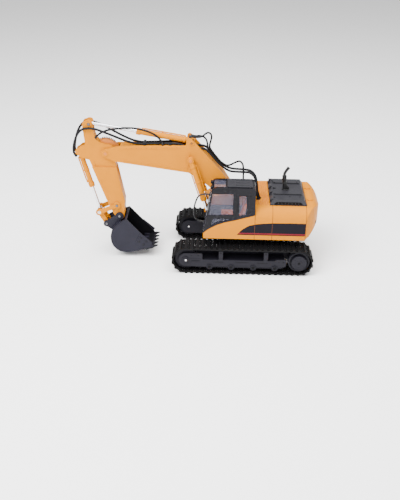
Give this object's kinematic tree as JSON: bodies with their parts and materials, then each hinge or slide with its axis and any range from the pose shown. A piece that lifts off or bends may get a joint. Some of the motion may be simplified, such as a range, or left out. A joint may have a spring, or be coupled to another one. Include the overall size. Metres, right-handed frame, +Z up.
{
  "type": "rc excavator",
  "caption": "Remote control crawler excavator with a yellow swinging house, black cab, two tracks, and a jointed boom, stick and metal bucket.",
  "frame": {"origin": "on the ground under the swing axis, midway between the tracks", "axes": "+Z up; the boom points along -Y; the cab stands on the +X side"},
  "size_m": [0.176, 0.4477, 0.2585],
  "materials": {
    "moulded_yellow": "satin moulded plastic, warm yellow",
    "moulded_black": "glossy black moulded plastic",
    "frame_black": "satin black moulded plastic",
    "track_rubber": "matt black track shoes",
    "bucket_metal": "die-cast metal, dark grey paint",
    "bright_metal": "bright steel pins and piston rods",
    "zinc_screw": "zinc plated screws",
    "clear_window": "clear moulded window",
    "hose_rubber": "soft black hose",
    "gear_plastic": "natural nylon gear",
    "gear_brass": "brass pinion",
    "motor_can": "zinc plated motor can",
    "battery_wrap": "shrink-wrapped cells",
    "board_green": "printed circuit board",
    "switch_red": "red slide switch",
    "roof_grey": "dark grey textured panel"
  },
  "bodies": {
    "undercarriage": {"centre_frame": "frame_black", "swing_ring_gear": "gear_plastic", "left_track_frame": "frame_black", "right_track_frame": "frame_black", "left_track_belt": "track_rubber", "right_track_belt": "track_rubber", "drive_motors": "motor_can", "chassis_cover": "frame_black", "chassis_screws": "zinc_screw", "wheel_axles": "bright_metal"},
    "left_sprocket": {"left_sprocket": "frame_black"},
    "left_idler": {"left_idler": "frame_black"},
    "left_roller_1": {"left_roller_1": "frame_black"},
    "left_roller_2": {"left_roller_2": "frame_black"},
    "left_roller_3": {"left_roller_3": "frame_black"},
    "left_roller_4": {"left_roller_4": "frame_black"},
    "right_sprocket": {"right_sprocket": "frame_black"},
    "right_idler": {"right_idler": "frame_black"},
    "right_roller_1": {"right_roller_1": "frame_black"},
    "right_roller_2": {"right_roller_2": "frame_black"},
    "right_roller_3": {"right_roller_3": "frame_black"},
    "right_roller_4": {"right_roller_4": "frame_black"},
    "power_switch": {"power_switch": "switch_red"},
    "house": {"house_floor": "frame_black", "boom_bracket": "moulded_yellow", "left_side_panel": "moulded_yellow", "right_side_panel": "moulded_yellow", "counterweight": "moulded_yellow", "rear_deck": "moulded_yellow", "engine_cover": "moulded_black", "exhaust_pipe": "moulded_black", "cab_frame": "moulded_black", "cab_roof": "roof_grey", "cab_windows": "clear_window", "operator_seat": "moulded_yellow", "handrail": "moulded_black", "battery_pack": "battery_wrap", "circuit_board": "board_green", "swing_motor": "motor_can"},
    "swing_pinion": {"swing_pinion": "gear_brass"},
    "boom": {"boom": "moulded_yellow", "boom_pins": "bright_metal", "boom_hoses": "hose_rubber", "deck_hoses": "hose_rubber", "stick_hoses": "hose_rubber"},
    "boom_barrels": {"boom_barrels": "moulded_yellow"},
    "boom_rods": {"boom_rods": "bright_metal"},
    "stick": {"stick": "moulded_yellow", "stick_gear": "moulded_yellow", "stick_pins": "bright_metal"},
    "stick_rod": {"stick_rod": "bright_metal"},
    "stick_barrel": {"stick_barrel": "moulded_yellow"},
    "rocker": {"rocker": "moulded_yellow"},
    "bucket_rod": {"bucket_rod": "bright_metal"},
    "bucket_barrel": {"bucket_barrel": "moulded_yellow"},
    "bucket": {"bucket": "bucket_metal", "bucket_teeth": "bucket_metal", "side_cutters": "bucket_metal", "bucket_pin": "bright_metal"},
    "bucket_link": {"bucket_link": "moulded_yellow"}
  },
  "joints": [
    {"name": "left_sprocket_spin", "type": "hinge", "parent": "undercarriage", "child": "left_sprocket", "pos_m": [0, 0.102, 0.026], "axis": [1, 0, 0], "continuous": true},
    {"name": "left_idler_spin", "type": "hinge", "parent": "undercarriage", "child": "left_idler", "pos_m": [0, -0.102, 0.026], "axis": [1, 0, 0], "continuous": true},
    {"name": "left_roller_1_spin", "type": "hinge", "parent": "undercarriage", "child": "left_roller_1", "pos_m": [0, -0.059, 0.013], "axis": [1, 0, 0], "continuous": true},
    {"name": "left_roller_2_spin", "type": "hinge", "parent": "undercarriage", "child": "left_roller_2", "pos_m": [0, -0.02, 0.013], "axis": [1, 0, 0], "continuous": true},
    {"name": "left_roller_3_spin", "type": "hinge", "parent": "undercarriage", "child": "left_roller_3", "pos_m": [0, 0.02, 0.013], "axis": [1, 0, 0], "continuous": true},
    {"name": "left_roller_4_spin", "type": "hinge", "parent": "undercarriage", "child": "left_roller_4", "pos_m": [0, 0.059, 0.013], "axis": [1, 0, 0], "continuous": true},
    {"name": "right_sprocket_spin", "type": "hinge", "parent": "undercarriage", "child": "right_sprocket", "pos_m": [0, 0.102, 0.026], "axis": [1, 0, 0], "continuous": true},
    {"name": "right_idler_spin", "type": "hinge", "parent": "undercarriage", "child": "right_idler", "pos_m": [0, -0.102, 0.026], "axis": [1, 0, 0], "continuous": true},
    {"name": "right_roller_1_spin", "type": "hinge", "parent": "undercarriage", "child": "right_roller_1", "pos_m": [0, -0.059, 0.013], "axis": [1, 0, 0], "continuous": true},
    {"name": "right_roller_2_spin", "type": "hinge", "parent": "undercarriage", "child": "right_roller_2", "pos_m": [0, -0.02, 0.013], "axis": [1, 0, 0], "continuous": true},
    {"name": "right_roller_3_spin", "type": "hinge", "parent": "undercarriage", "child": "right_roller_3", "pos_m": [0, 0.02, 0.013], "axis": [1, 0, 0], "continuous": true},
    {"name": "right_roller_4_spin", "type": "hinge", "parent": "undercarriage", "child": "right_roller_4", "pos_m": [0, 0.059, 0.013], "axis": [1, 0, 0], "continuous": true},
    {"name": "power_switch_slide", "type": "slide", "parent": "undercarriage", "child": "power_switch", "axis": [0, 1, 0], "range_m": [0, 0.004]},
    {"name": "house_swing", "type": "hinge", "parent": "undercarriage", "child": "house", "pos_m": [0, 0, 0.064], "axis": [0, 0, 1], "range_deg": [-340, 340]},
    {"name": "swing_pinion_spin", "type": "hinge", "parent": "house", "child": "swing_pinion", "pos_m": [0, 0.0301, 0.064], "axis": [0, 0, 1], "range_deg": [-1361, 1361]},
    {"name": "boom_pivot", "type": "hinge", "parent": "house", "child": "boom", "pos_m": [0, -0.025, 0.122], "axis": [-1, 0, 0], "range_deg": [-35, 20], "deforming": ["deck_hoses"]},
    {"name": "boom_barrel_pivot", "type": "hinge", "parent": "boom", "child": "boom_barrels", "pos_m": [0, -0.097, 0.193], "axis": [1, 0, 0], "range_deg": [-12, 12]},
    {"name": "boom_rod_slide", "type": "slide", "parent": "boom_barrels", "child": "boom_rods", "axis": [0, 0.3091, -0.951], "range_m": [-0.031, 0.018]},
    {"name": "stick_pivot", "type": "hinge", "parent": "boom", "child": "stick", "pos_m": [0, -0.25, 0.199], "axis": [1, 0, 0], "range_deg": [-50, 8], "deforming": ["stick_hoses"]},
    {"name": "stick_rod_pivot", "type": "hinge", "parent": "stick", "child": "stick_rod", "pos_m": [0, -0.278, 0.251], "axis": [1, 0, 0], "range_deg": [-9, 46]},
    {"name": "stick_barrel_slide", "type": "slide", "parent": "stick_rod", "child": "stick_barrel", "axis": [0, 0.9875, -0.1574], "range_m": [-0.048, 0.008]},
    {"name": "bucket_pivot", "type": "hinge", "parent": "stick", "child": "bucket", "pos_m": [0, -0.228, 0.077], "axis": [1, 0, 0], "range_deg": [-60, 15]},
    {"name": "rocker_pivot", "type": "hinge", "parent": "stick", "child": "rocker", "pos_m": [0, -0.2325, 0.098], "axis": [1, 0, 0], "range_deg": [-51, 13]},
    {"name": "link_pivot", "type": "hinge", "parent": "bucket", "child": "bucket_link", "pos_m": [0, -0.2525, 0.061], "axis": [1, 0, 0], "range_deg": [-14, 53]},
    {"name": "bucket_rod_pivot", "type": "hinge", "parent": "rocker", "child": "bucket_rod", "pos_m": [0, -0.2655, 0.0835], "axis": [1, 0, 0], "range_deg": [-14, 54]},
    {"name": "bucket_barrel_slide", "type": "slide", "parent": "bucket_rod", "child": "bucket_barrel", "axis": [0, -0.2709, 0.9626], "range_m": [-0.03, 0.008]}
  ],
  "couplings": [
    {"joint": "left_idler_spin", "follows": "left_sprocket_spin", "ratio": 1},
    {"joint": "left_roller_1_spin", "follows": "left_sprocket_spin", "ratio": 2.9697},
    {"joint": "left_roller_2_spin", "follows": "left_sprocket_spin", "ratio": 2.9697},
    {"joint": "left_roller_3_spin", "follows": "left_sprocket_spin", "ratio": 2.9697},
    {"joint": "left_roller_4_spin", "follows": "left_sprocket_spin", "ratio": 2.9697},
    {"joint": "right_idler_spin", "follows": "right_sprocket_spin", "ratio": 1},
    {"joint": "right_roller_1_spin", "follows": "right_sprocket_spin", "ratio": 2.9697},
    {"joint": "right_roller_2_spin", "follows": "right_sprocket_spin", "ratio": 2.9697},
    {"joint": "right_roller_3_spin", "follows": "right_sprocket_spin", "ratio": 2.9697},
    {"joint": "right_roller_4_spin", "follows": "right_sprocket_spin", "ratio": 2.9697},
    {"joint": "swing_pinion_spin", "follows": "house_swing", "ratio": 4},
    {"joint": "boom_barrel_pivot", "follows": "boom_pivot", "ratio": 0.266},
    {"joint": "boom_rod_slide", "follows": "boom_pivot", "m_per_rad": 0.0495},
    {"joint": "stick_rod_pivot", "follows": "stick_pivot", "ratio": -0.8858},
    {"joint": "stick_barrel_slide", "follows": "stick_pivot", "m_per_rad": 0.05445},
    {"joint": "rocker_pivot", "follows": "bucket_pivot", "ratio": 0.839},
    {"joint": "link_pivot", "follows": "bucket_pivot", "ratio": -0.875},
    {"joint": "bucket_rod_pivot", "follows": "bucket_pivot", "ratio": -0.894},
    {"joint": "bucket_barrel_slide", "follows": "bucket_pivot", "m_per_rad": 0.02785}
  ]
}
